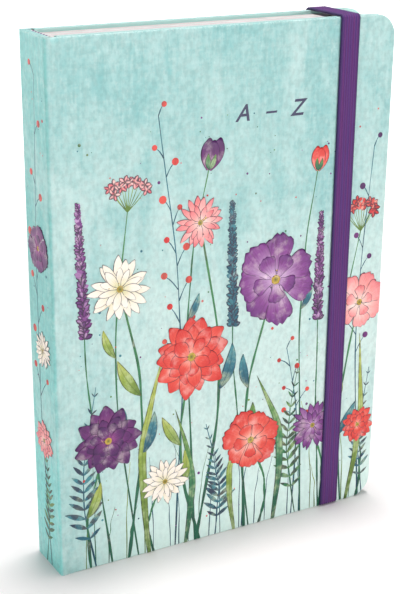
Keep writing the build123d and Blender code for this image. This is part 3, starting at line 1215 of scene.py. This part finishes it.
        # an upright spike: whorls of small florets, closer and smaller towards the tip
        path = self.path(footX, lean, top, 60)
        self.line(path, "spike", "leaf")
        down, layer = 1.2, 0
        while down < rise:
            spot, heading = backAlong(path, down)
            size = 1.0 + 2.3 * (down / rise) ** 0.55
            for side in (-1.15, 1.15, -0.6, 0.6, 0.0):
                spin = heading + side + self.some(-0.25, 0.25)
                tint = self.tint(tone, 0.1, 1.0)
                reach = size * self.some(0.75, 1.15) * (1.0 - 0.12 * abs(side))
                self.florets.append((spot, lifts["floretStep"] * (layer % 6), reach, tint, spin))
                layer += 1
            down += size * self.some(0.5, 0.62)

    def berries(self, footX, lean, top, tone, count, size=1.3):
        # a slender branching sprig with a berry at each tip
        path = self.path(footX, lean, top, 30)
        self.line(path, "sprig", "teal")
        for k in range(count):
            i = int(12 + 18 * k / max(count - 1, 1))
            side = 1 if k % 2 else -1
            heading = headingOf(path, i) + side * self.some(0.4, 0.9)
            end = ahead(path[i], heading, (9.0 - 5.0 * k / count) * self.some(0.8, 1.1))
            self.branch(path[i], end, 0.8, "twig", "teal")
            tint = self.tint(tone, 0.45, 1.0)
            self.dots.append((end, lifts["berry"], size * self.some(0.7, 1.1), tint, 0.0))

    def umbel(self, footX, lean, top, tone, spread, count):
        # a loose dome of small five-petalled blossoms on fine rays
        path = self.stem(footX, lean, (top[0], top[1] - spread * 0.9), "slender", 2, 10)
        for k in range(count):
            angle = math.pi * (0.04 + 0.92 * (k + 0.5) / count)
            reach = spread * self.some(0.55, 1.0)
            spot = (top[0] + reach * math.cos(angle), top[1] - spread * 0.25 + reach * 0.75 * math.sin(angle))
            self.branch(path[-1], spot, -0.4, "ray", "lime")
            turn = self.some(0, 2)
            size = self.some(1.9, 2.6)
            for petal in range(5):
                tint = self.tint(tone, 0.15, 0.95)
                lift = lifts["blossom"] + lifts["floretStep"] * petal
                self.florets.append((spot, lift, size, tint, turn + fullTurn * petal / 5))
            self.dots.append((spot, lifts["pollen"], 0.42, pollenSpeck, 0.0))

    def splatter(self, count, low, high, tones):
        # loose flecks of paint
        for k in range(count):
            spot = tuple(self.some(a, b) for a, b in zip(low, high))
            tint = self.tint(self.chance.choice(tones), 0.3, 1.0)
            self.dots.append((spot, 0.0, 0.14 + 0.4 * self.chance.random() ** 3, tint, 0.0))

    def inside(self, spots):
        # leaves out what would hang past the cover's edge
        kept = []
        for place, lift, size, tint, spin in spots:
            x, z = ahead(place, spin, size)
            if pastEdge(x * self.flip, z)[0] < coverEdge["overhang"]:
                kept.append((place, lift, size, tint, spin))
        return kept

    def pieces(self, name):
        # the sheet's layers as meshes, still flat
        made = []
        for label, layer, finish in (
            ("Petals", self.petals, petalFinish),
            ("Leaves", self.leaves, leafFinish),
        ):
            mesh = refine(layer.mesh(name + label), self.flip, True)
            mesh = thicken(mesh, name + label, filmDepth)
            mesh.materials.append(finish)
            smooth(mesh)
            made.append(newObject(name + label, mesh))
        points, widths, tints = zip(*self.lines)
        lines = meshFrom(name + "Stems", points, [], self.strokes)
        carry(lines, girth=widths, tint=tints)
        small = [grow(name + "Stems", lines, stemTree, brush)]
        for label, spots, finish in (
            ("Dots", self.dots, stemFinish),
            ("Leaflets", self.leaflets, leafFinish),
            ("Florets", self.florets, petalFinish),
        ):
            small.append(sprinkle(name + label, self.inside(spots), motifs[label], finish))
        for piece in small:
            refine(piece.data, self.flip)
        return made + small


def drawFront():
    sheet = Meadow(11, 1)
    sheet.grass(26, -56, 60, 46)
    sheet.splatter(150, (-56, 4), (60, 150), ("teal", "violet", "coral", "leaf"))
    sheet.fern(-50, (-56, 30), (-49, 66), "teal", 9)
    sheet.fern(30, (24, 30), (29, 58), "leaf", 8)
    sheet.fern(-4, (-2, 20), (-8, 44), "teal", 8)
    sheet.fern(60, (56, 24), (60, 52), "teal", 6)
    sheet.blade(-30, (-34, 40), (-24, 74), 3.0, "lime")
    sheet.blade(-16, (-12, 26), (-20, 52), 2.6, "leaf")
    sheet.blade(20, (24, 34), (12, 58), 3.0, "leaf")
    sheet.blade(52, (58, 30), (55, 66), 2.6, "lime")
    sheet.blade(4, (0, 24), (8, 40), 2.4, "lime")
    sheet.spike(-44, (-52, 60), (-54, 128), "violet", 46)
    sheet.spike(10, (2, 60), (1, 122), "teal", 44)
    sheet.spike(40, (36.5, 50), (36.2, 114), "violet", 40)
    sheet.berries(-20, (-16, 80), (-26, 152), "coral", 13)
    sheet.berries(28, (30, 40), (24, 66), "coral", 7, 1.1)
    sheet.berries(58, (52, 70), (57, 134), "plum", 9, 1.1)
    sheet.umbel(50, (44, 60), (53, 112), "coral", 8.5, 11)
    sheet.umbel(-34, (-44, 70), (-37, 130), "pink", 8.0, 10)
    sheet.bud((-8, 133), 11, "plum", -12, (-17, 94))
    sheet.bud((34, 128), 9, "coral", 32, (28, 90))
    sheet.flower("fan", "violet", (18.5, 92), 17, 8, (6, 50))
    sheet.flower("full", "coral", (-14, 70), 15, -10, (-20, 34))
    sheet.flower("ray", "cream", (-40, 98), 11.5, -38, (-30, 56))
    sheet.flower("full", "plum", (-45, 46), 12.5, -52, (-54, 20), 1)
    sheet.flower("fan", "pink", (54, 78), 11.5, 48, (46, 40))
    sheet.flower("ray", "pink", (-11, 116), 9.0, -12, (0, 60), 1)
    sheet.flower("fan", "coral", (10, 34), 12.5, 14, (18, 14), 0)
    sheet.flower("ray", "violet", (36, 34), 9.5, 40, (42, 16), 0)
    sheet.flower("ray", "cream", (-24, 26), 9.0, -28, (-32, 12), 0)
    sheet.flower("full", "coral", (56, 30), 7.5, 57, (59, 14), 0)
    # the spine's own column, which ends on the spine's face
    sheet.foot = 0.3
    radius = book["spineRadius"]
    s = radius * (1 - math.pi / 2) - book["halfWidth"] - book["halfThick"] + radius
    sheet.berries(s + 2, (s - 4, 70), (s + 1, 166), "coral", 12, 1.2)
    sheet.fern(s - 2, (s + 3, 24), (s - 1, 48), "leaf", 6)
    sheet.flower("fan", "plum", (s, 112), 8.2)
    sheet.flower("ray", "cream", (s + 1, 78), 6.5)
    sheet.flower("full", "pink", (s - 0.5, 46), 7.0)
    sheet.splatter(24, (s - 7, 6), (s + 7, 170), ("teal", "violet", "coral"))
    return sheet.pieces("frontPrint")


def drawBack():
    sheet = Meadow(23, -1)
    sheet.grass(24, -60, 56, 40)
    sheet.splatter(110, (-60, 4), (56, 120), ("teal", "violet", "coral", "leaf"))
    sheet.fern(48, (54, 26), (46, 56), "teal", 8)
    sheet.fern(-30, (-26, 24), (-33, 46), "leaf", 8)
    sheet.blade(30, (34, 30), (24, 60), 2.8, "lime")
    sheet.blade(-6, (-12, 26), (-2, 50), 2.6, "leaf")
    sheet.blade(-48, (-54, 30), (-50, 58), 2.6, "lime")
    sheet.spike(14, (20, 46), (18, 92), "violet", 36)
    sheet.spike(-20, (-16, 40), (-18, 84), "teal", 34)
    sheet.berries(40, (32, 60), (38, 112), "coral", 10)
    sheet.umbel(-54, (-50, 50), (-54, 96), "coral", 7.5, 10)
    sheet.bud((2, 108), 10, "plum", 4, (10, 70))
    sheet.flower("full", "plum", (2, 62), 14, -2, (-8, 30))
    sheet.flower("fan", "coral", (34, 46), 12, 36, (42, 22))
    sheet.flower("ray", "cream", (-36, 78), 10.5, -38, (-46, 40))
    sheet.flower("fan", "violet", (-14, 30), 12, -12, (-8, 12), 0)
    sheet.flower("ray", "pink", (48, 82), 9, 52, (56, 40))
    sheet.flower("ray", "pink", (16, 24), 9, 20, (24, 10), 0)
    return sheet.pieces("backPrint")


for pieces, placing, side, cover in (
    (drawFront(), onFrontAndSpine, -1, "front_cover"),
    (drawBack(), onBack, 1, "back_cover"),
):
    for piece in pieces:
        lay(piece, placing)
        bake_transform(piece)
        print("printed layer", piece.name, len(piece.data.polygons), "faces")
for motif in motifs.values():
    bpy.data.objects.remove(motif)


# lettering: an index mark on the cover and the letters of the index tabs

coverMark = {
    "words": "A – Z",
    "size": 7.6,
    "spacing": 1.5,
    "place": (14.5, -book["halfThick"] - 0.01, 147.5),
    "slant": 0.28,
    "weight": 0.11,
}
letterDepth = 0.02


def makeLetters(name, words, size, spacing, place, slant=0.0, weight=0.0, turn=0.0):
    # flat letters, centred on their place, with z up; they face -y unless they are turned
    curve = bpy.data.curves.new("letters", "FONT")
    curve.body = words
    curve.size = size * mm
    curve.space_character = spacing
    curve.shear = slant
    curve.offset = weight * mm
    curve.align_x = "CENTER"
    curve.align_y = "BOTTOM_BASELINE"
    curve.extrude = letterDepth * mm
    curve.resolution_u = 6
    mesh = plainMesh(newObject("letters.seed", curve))
    mesh.transform(Matrix.Rotation(turn, 4, "Z") @ Matrix.Rotation(math.pi / 2, 4, "X"))
    move(mesh, *place)
    mesh.materials.clear()
    mesh.materials.append(markFinish)
    return newObject(name, mesh)


mark = makeLetters("coverMark", **coverMark)
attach(mark, "front_cover")
print("cover mark made")


# elastic band

bandRoute = {
    "edgeGap": 0.5,         # radius of the edge that the band goes round
    "runEnd": 8.95,         # where the side runs meet the ends on the back cover
    "slits": (162.0, 16.0),
    "seat": 8.1,            # middle of the band in the back board
    "slitGap": 0.12,
    "tongue": 12.4,         # length of an end beyond its slit
    "lead": 1.0,            # straight band next to a bend
    "floorGap": 0.05,
    "pressed": 0.6,         # thickness below the tail edge
    "pressedTo": 1.0,       # up to this height
}


def bandProfile(look):
    # closed outline across the band: ribs on both faces, rounded selvages
    half, thick = look["width"] / 2, look["thick"] / 2
    samples = look["ribs"] * 6
    top = []
    for i in range(samples + 1):
        share = i / samples
        rib = abs(math.sin(share * look["ribs"] * math.pi))
        edge = min(1.0, min(share, 1 - share) * 14)
        top.append((-half + 2 * half * share, (thick - look["ribDepth"] * (1 - rib)) * (0.55 + 0.45 * edge)))
    return [(x, -y, 0) for x, y in top] + [(x, y, 0) for x, y in top[::-1]]


def makeBandTree():
    # the ribbed outline swept along the band's path, with the width kept along X
    graph, wires = startTree("bandSweep", Outline="Object", Finish="Material")
    path = graph.add("GeometryNodeMeshToCurve", {0: wires[0]})[0]
    path = graph.add("GeometryNodeSetCurveNormal", {0: path, 2: (1.0, 0.0, 0.0)}, mode="FREE")[0]
    shape = graph.add("GeometryNodeObjectInfo", {0: wires[1]})[4]
    outline = graph.add("GeometryNodeMeshToCurve", {0: shape})[0]
    band = graph.add("GeometryNodeCurveToMesh", {0: path, 1: outline, 2: 1.0, 3: True})[0]
    soft = graph.add("GeometryNodeSetShadeSmooth", {0: band})[0]
    return endTree(graph, soft, wires[2])


def arc(centre, radius, first, last, steps=8):
    # points in (y, z) on an arc, angles in degrees from +y towards +z
    angles = [math.radians(first + (last - first) * i / steps) for i in range(steps + 1)]
    return [ahead(centre, angle, radius) for angle in angles]


def straight(first, last, steps):
    return [tuple(a + (b - a) * i / steps for a, b in zip(first, last)) for i in range(steps + 1)]


outlinePoints = bandProfile(elasticLook)
outlineCount = len(outlinePoints)
outlineEdges = [(i, (i + 1) % outlineCount) for i in range(outlineCount)]
bandOutline = newObject("bandOutline", meshFrom("bandOutline", outlinePoints, [], outlineEdges))
bandTree = makeBandTree()

halfBand = elasticLook["thick"] / 2
faceY = book["halfThick"] + halfBand            # middle of the band where it lies on a cover
overZ = book["height"] + halfBand
underZ = bandRoute["floorGap"] + halfBand
bend = halfBand + bandRoute["edgeGap"]
bendEnd = bend + bandRoute["lead"]
fold = halfBand + bandRoute["slitGap"]          # the band's turn into and below a slit
backEdge = faceY - bend


def endPath(edgeZ, slit, up):
    # from a side run round the back cover's edge, through the slit and into the seat; up -1 is the tail
    seat = bandRoute["seat"]
    path = straight((bandRoute["runEnd"], edgeZ), (backEdge, edgeZ), 2)[:-1]
    path += arc((backEdge, edgeZ - up * bend), bend, 90 * up, 0)
    path += straight((faceY, edgeZ - up * bendEnd), (faceY, slit + up * fold), 6)
    path += arc((faceY - fold, slit + up * fold), fold, 0, -90 * up)[1:]
    path += arc((seat + fold, slit - up * fold), fold, 90 * up, 180 * up)
    return path + [(seat, slit - up * bandRoute["tongue"])]


frontPath = arc((-backEdge, overZ - bend), bend, 90, 180)
frontPath += straight((-faceY, overZ - bendEnd), (-faceY, underZ + bendEnd), 40)
frontPath += arc((-backEdge, underZ + bend), bend, 180, 270)
sidePaths = [straight((-backEdge, z), (bandRoute["runEnd"], z), 6) for z in (overZ, underZ)]
endPaths = [endPath(overZ, bandRoute["slits"][0], 1), endPath(underZ, bandRoute["slits"][1], -1)]


def makeBand(name, paths):
    points, edges = [], []
    for path in paths:
        first = len(points)
        points += [(elasticLook["centre"], y, z) for y, z in path]
        edges += [(first + i, first + i + 1) for i in range(len(path) - 1)]
    mesh = meshFrom(name, points, [], edges)
    band = grow(name, mesh, bandTree, {"Outline": bandOutline, "Finish": elasticFinish})
    # the book's weight flattens the run below the tail edge
    gap, reach = bandRoute["floorGap"], elasticLook["thick"]
    for vertex in band.data.vertices:
        x, y, z = vertex.co / mm
        inward = (book["halfThick"] + reach - abs(y)) / reach
        if z < bandRoute["pressedTo"] and inward > 0:
            flat = gap + (z - gap) * bandRoute["pressed"] / reach
            vertex.co.z = (z + (flat - z) * min(1.0, inward)) * mm
    band.data.update()
    return band


bandFront = makeBand("elasticFront", [frontPath])
bandSides = makeBand("elasticSides", sidePaths)
bandEnds = makeBand("elasticBackEnds", endPaths)
bpy.data.objects.remove(bandOutline)
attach(bandFront, "elastic_front")
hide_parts("elastic_front_run")
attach(bandSides, "elastic_sides")
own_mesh(bandSides)
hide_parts("elastic_side_runs")
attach(bandEnds, "back_cover")
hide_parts("elastic_ends")
print("elastic made:", len(bandFront.data.polygons), "faces on the front run")


# sections of leaves with their index tabs

leaves = {
    "names": ["ab", "cd", "ef", "gh", "ij", "kl", "mn", "op", "qr", "st", "uv", "wx", "yz"],
    "foldX": -59.02,
    "edgeX": 61.0,
    "cutX": 53.0,
    "low": 1.0,
    "high": 177.0,
    "foldLow": 1.55,
    "foldHigh": 176.45,
    "foldDepth": 0.3,
    "foldSides": 10,
    "radius": 5.5,
    "tabRadius": 2.5,
    "rootRadius": 1.2,
    "pitch": 1.02,
    "firstY": -6.12,
    "leafCount": 6,
    "leafThick": 0.14,
    "leafStep": 0.165,
    "drift": 0.16,
    "seed": 40,
    "seedStep": 3,
    "letterSize": 4.4,
    "letterX": 56.9,
    "letterSpacing": 1.1,
    "letterMiddle": 0.36,    # half a capital, as a share of the size
}
tabHeight = (leaves["high"] - leaves["low"]) / len(leaves["names"])
halfSection = leaves["leafStep"] * (leaves["leafCount"] - 1) / 2 + leaves["leafThick"] / 2


def roundedOutline(corners, radii, steps=6):
    # a closed outline with its corners rounded
    points = []
    for i, (corner, radius) in enumerate(zip(corners, radii)):
        here = Vector(corner)
        if radius == 0:
            points.append(tuple(here))
            continue
        before = (Vector(corners[i - 1]) - here).normalized() * radius
        after = (Vector(corners[(i + 1) % len(corners)]) - here).normalized() * radius
        for k in range(steps + 1):
            angle = math.pi / 2 * k / steps
            points.append(tuple(here + before * (1 - math.sin(angle)) + after * (1 - math.cos(angle))))
    return points


def setTab(mesh, tint, foot):
    # what the page paper reads: the tab's tint and the height of its foot
    count = len(mesh.vertices)
    return carry(mesh, tabTint=[tint] * count, tabFoot=[foot] * count)


def leafMesh(index):
    # one thin leaf, cut back below its tab; the last one isn't cut
    fold, edge, cut = leaves["foldX"], leaves["edgeX"], leaves["cutX"]
    low, high, radius = leaves["low"], leaves["high"], leaves["radius"]
    foot = high - (index + 1) * tabHeight
    head = [(edge, high), (fold, high)]
    if index == len(leaves["names"]) - 1:
        outline = roundedOutline([(fold, low), (edge, low)] + head, [0, radius, radius, 0])
    else:
        corners = [(fold, low), (cut, low), (cut, foot), (edge, foot)] + head
        outline = roundedOutline(corners, [0, radius, leaves["rootRadius"], leaves["tabRadius"], radius, 0])
    half = leaves["leafThick"] / 2
    count = len(outline)
    points = [(x, -half, z) for x, z in outline] + [(x, half, z) for x, z in outline]
    faces = [tuple(range(count)), tuple(range(2 * count - 1, count - 1, -1))]
    faces += [(i, i + count, (i + 1) % count + count, (i + 1) % count) for i in range(count)]
    return setTab(meshFrom("leaf", points, faces), pageLook["tabs"][index % len(pageLook["tabs"])], foot)


def pointRow(graph, count, step, middle=0.0):
    # points in a row along Y
    start = graph.join(y=middle - (count - 1.0) * step * 0.5)
    return graph.add("GeometryNodeMeshLine", {0: count, 2: start, 3: graph.join(y=step)})[0]


def makeStackTree():
    # leaves laid side by side, each a little out of line with the next
    graph, wires = startTree("leafStack", Count="Int", Step="Float", Middle="Float", Drift="Float",
                             Seed="Int", Finish="Material")
    leaf, count, step, middle, drift, seed, finish = wires[:7]
    line = pointRow(graph, count, step, middle)
    shifts = []
    for share, seedStep in ((1.0, 0.0), (0.45, 1.0)):
        sockets = {2: drift * -share, 3: drift * (share * 0.25), 8: seed + seedStep}
        shifts.append(graph.add("FunctionNodeRandomValue", sockets, data_type="FLOAT")[1])
    points = graph.add("GeometryNodeSetPosition", {0: line, 3: graph.join(shifts[0], 0.0, shifts[1])})[0]
    stack = graph.add("GeometryNodeInstanceOnPoints", {0: points, 2: leaf})[0]
    return endTree(graph, stack, finish)


def addFold(piece, y):
    # the folded back of the section, a half round along the spine side
    sides, depth = leaves["foldSides"], leaves["foldDepth"]
    wide = sides + 1
    points = []
    for z in (leaves["foldLow"], leaves["foldHigh"]):
        for k in range(wide):
            angle = math.pi / 2 + math.pi * k / sides
            x = leaves["foldX"] + depth + (halfSection + depth) * math.cos(angle)
            points.append((x, y + halfSection * math.sin(angle), z))
    faces = [(k, k + 1, k + 1 + wide, k + wide) for k in range(sides)]
    faces += [(0, wide, wide + sides, sides), tuple(range(sides, -1, -1)), tuple(range(wide, 2 * wide))]
    mesh = setTab(meshFrom("fold", points, faces), pageLook["tabs"][0], 0.0)
    mesh.materials.append(pageFinish)
    fold = newObject("fold", mesh)
    with bpy.context.temp_override(active_object=piece, selected_editable_objects=[piece, fold]):
        bpy.ops.object.join()


stackTree = makeStackTree()
for index, letters in enumerate(leaves["names"]):
    node = "section_" + letters
    y = leaves["firstY"] + leaves["pitch"] * index
    section = grow("leaves_" + letters, leafMesh(index), stackTree, {
        "Count": leaves["leafCount"],
        "Step": leaves["leafStep"] * mm,
        "Middle": y * mm,
        "Drift": leaves["drift"] * mm,
        "Seed": leaves["seed"] + index * leaves["seedStep"],
        "Finish": pageFinish,
    })
    addFold(section, y)
    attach(section, node)
    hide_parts(node)
    # the pair of letters stands on both faces of the tab
    middleZ = leaves["high"] - (index + 0.5) * tabHeight - leaves["letterSize"] * leaves["letterMiddle"]
    for label, side, turn in (("Front", -1, 0.0), ("Back", 1, math.pi)):
        place = (leaves["letterX"], y + side * halfSection, middleZ)
        piece = makeLetters("tabLetters" + label + "_" + letters, letters.upper(), leaves["letterSize"],
                            leaves["letterSpacing"], place, turn=turn)
        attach(piece, node)
print("sections made:", len(leaves["names"]))


# headbands: a row of stitches over each bead

stitch = {
    "beadX": -60.0,
    "radius": 0.6,
    "span": 13.0,
    "count": 26,
    "thread": 0.2,
    "flatness": 0.6,
    "spread": 1.15,
    "turns": 16,
    "sides": 6,
    "headZ": 177.25,
    "tailZ": 0.75,
}


def loopMesh(look):
    # one loop of thread round the bead
    points, faces = [], []
    turns, sides = look["turns"], look["sides"]
    for t in range(turns):
        angle = fullTurn * t / turns
        for s in range(sides):
            small = fullTurn * s / sides
            reach = look["radius"] + look["thread"] * look["flatness"] * math.cos(small)
            width = look["thread"] * look["spread"] * math.sin(small)
            points.append((reach * math.cos(angle), width, reach * math.sin(angle)))
            here, after = t * sides, (t + 1) % turns * sides
            u = (s + 1) % sides
            faces.append((here + s, here + u, after + u, after + s))
    return meshFrom("stitchLoop", points, faces)


def makeStitchTree():
    # loops along the bead, two of one colour and then two of the other
    graph, wires = startTree("stitchRow", Count="Int", Step="Float", Finish="Material")
    loop, count, step, finish = wires[:4]
    line = pointRow(graph, count, step)
    order = graph.add("GeometryNodeInputIndex")[0]
    stripe = (order / 4.0).fraction().maths("GREATER_THAN", 0.4)
    loops = graph.add("GeometryNodeInstanceOnPoints", {0: line, 2: loop})[0]
    loops = graph.add("GeometryNodeStoreNamedAttribute", {0: loops, 2: "stripe", 3: stripe},
                      data_type="FLOAT", domain="INSTANCE")[0]
    soft = graph.add("GeometryNodeSetShadeSmooth", {0: loops})[0]
    return endTree(graph, soft, finish)


stitchTree = makeStitchTree()
for name, z in (("headbandStitches", stitch["headZ"]), ("tailbandStitches", stitch["tailZ"])):
    values = {"Count": stitch["count"], "Step": stitch["span"] / stitch["count"] * mm, "Finish": threadFinish}
    row = grow(name, loopMesh(stitch), stitchTree, values)
    move(row.data, stitch["beadX"], 0, z)
    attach(row, "spine")
print("headband stitches made")


# endpaper across the inner joints, from each pastedown to its flyleaf

innerHinge = {
    "columns": 14,
    "rows": 12,
    "lean": 0.084,          # the sheet's thickness, shared between X and Y
    "low": 3.2,
    "high": 174.8,
    "rounding": 0.0,
    "atCover": (-58.75, 7.25),
    "atSpine": (-59.06, 6.92),
}


def hingeSection(share):
    x, y = Vector(innerHinge["atCover"]).lerp(Vector(innerHinge["atSpine"]), share)
    return (x, y), (x - innerHinge["lean"], y + innerHinge["lean"])


for name, side, cover in (("frontInnerHinge", -1, "front_cover"), ("backInnerHinge", 1, "back_cover")):
    hinge = makeSheet(name, side, innerHinge, hingeSection, endpaperFinish)
    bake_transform(hinge)
print("inner hinges made")
